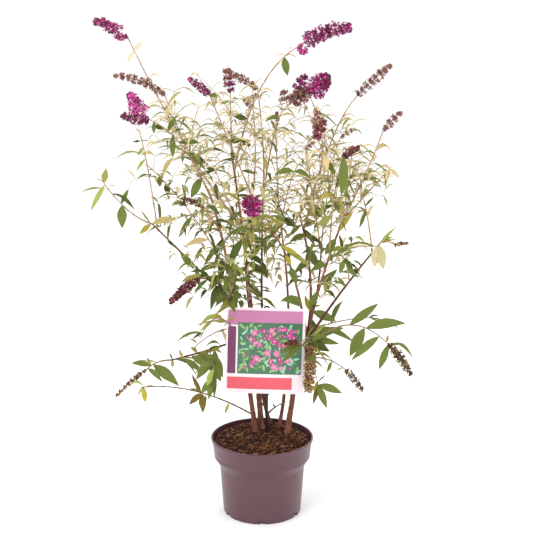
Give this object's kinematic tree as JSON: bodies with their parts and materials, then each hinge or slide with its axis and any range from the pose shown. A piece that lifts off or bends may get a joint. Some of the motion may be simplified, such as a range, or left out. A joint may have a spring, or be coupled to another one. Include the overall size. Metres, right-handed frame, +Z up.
{
  "type": "potted butterfly bush",
  "caption": "Potted flowering shrub: arching canes with narrow leaves and tapering flower spikes, in a round plastic pot with a hanging label.",
  "frame": {"origin": "centre of the pot's flat underside", "axes": "+Z up along the pot's axis, -Y towards the side that the label faces, +X to the right seen from that side"},
  "size_m": [0.6947, 0.606, 1.1129],
  "materials": {
    "plastic": "satin injection-moulded plastic, dull plum brown",
    "compost": "moist bark and coir compost, dark brown, rough",
    "card": null,
    "stick": "black moulded plastic",
    "bark": "peeling red-brown bark low down, smooth tan skin above",
    "leaf": "matt green blade with a pale felted underside",
    "blossom": "magenta florets packed in a spike",
    "spent_blossom": "dry brown florets"
  },
  "bodies": {
    "root": {"pot": "plastic", "compost": "compost", "label_card": "card", "label_stick": "stick", "cane_left": "bark", "cane_middle": "bark", "cane_thin": "bark", "cane_right": "bark", "cane_back": "bark", "cane_rear": "bark", "bough_upper": "bark", "bough_cross": "bark", "bough_outer": "bark", "bough_reach": "bark", "bough_inner": "bark", "bough_left": "bark", "bough_low_left": "bark", "stub_dead": "bark", "twig_dead": "bark", "spire_left": "leaf", "plume_left": "leaf", "bloom_left": "leaf", "sprig_left": "leaf", "bloom_centre_left": "leaf", "arch_centre": "leaf", "spire_right": "leaf", "bloom_centre": "leaf", "plume_centre": "leaf", "bloom_inner": "leaf", "plume_right": "leaf", "plume_edge": "leaf", "sprig_edge": "leaf", "sprig_right": "leaf", "bloom_dark": "leaf", "sprig_upper": "leaf", "sprig_back": "leaf", "bloom_front": "leaf", "sprig_dotted": "leaf", "return_right": "leaf", "fill_left": "leaf", "fill_right": "leaf", "fill_outer": "leaf", "fill_centre": "leaf", "back_left": "leaf", "upright_left": "leaf", "tip_left": "leaf", "fan_right": "leaf", "sprout_right": "leaf", "plume_low_left": "leaf", "tuft_left": "leaf", "leaves_yellow": "leaf", "droop_left": "leaf", "trail_left": "leaf", "trail_low": "leaf", "spray_right": "leaf", "spray_low_right": "leaf", "plume_hanging": "leaf", "sprig_front": "leaf", "rear_low_left": "leaf", "rear_low_right": "leaf"}
  },
  "joints": []
}
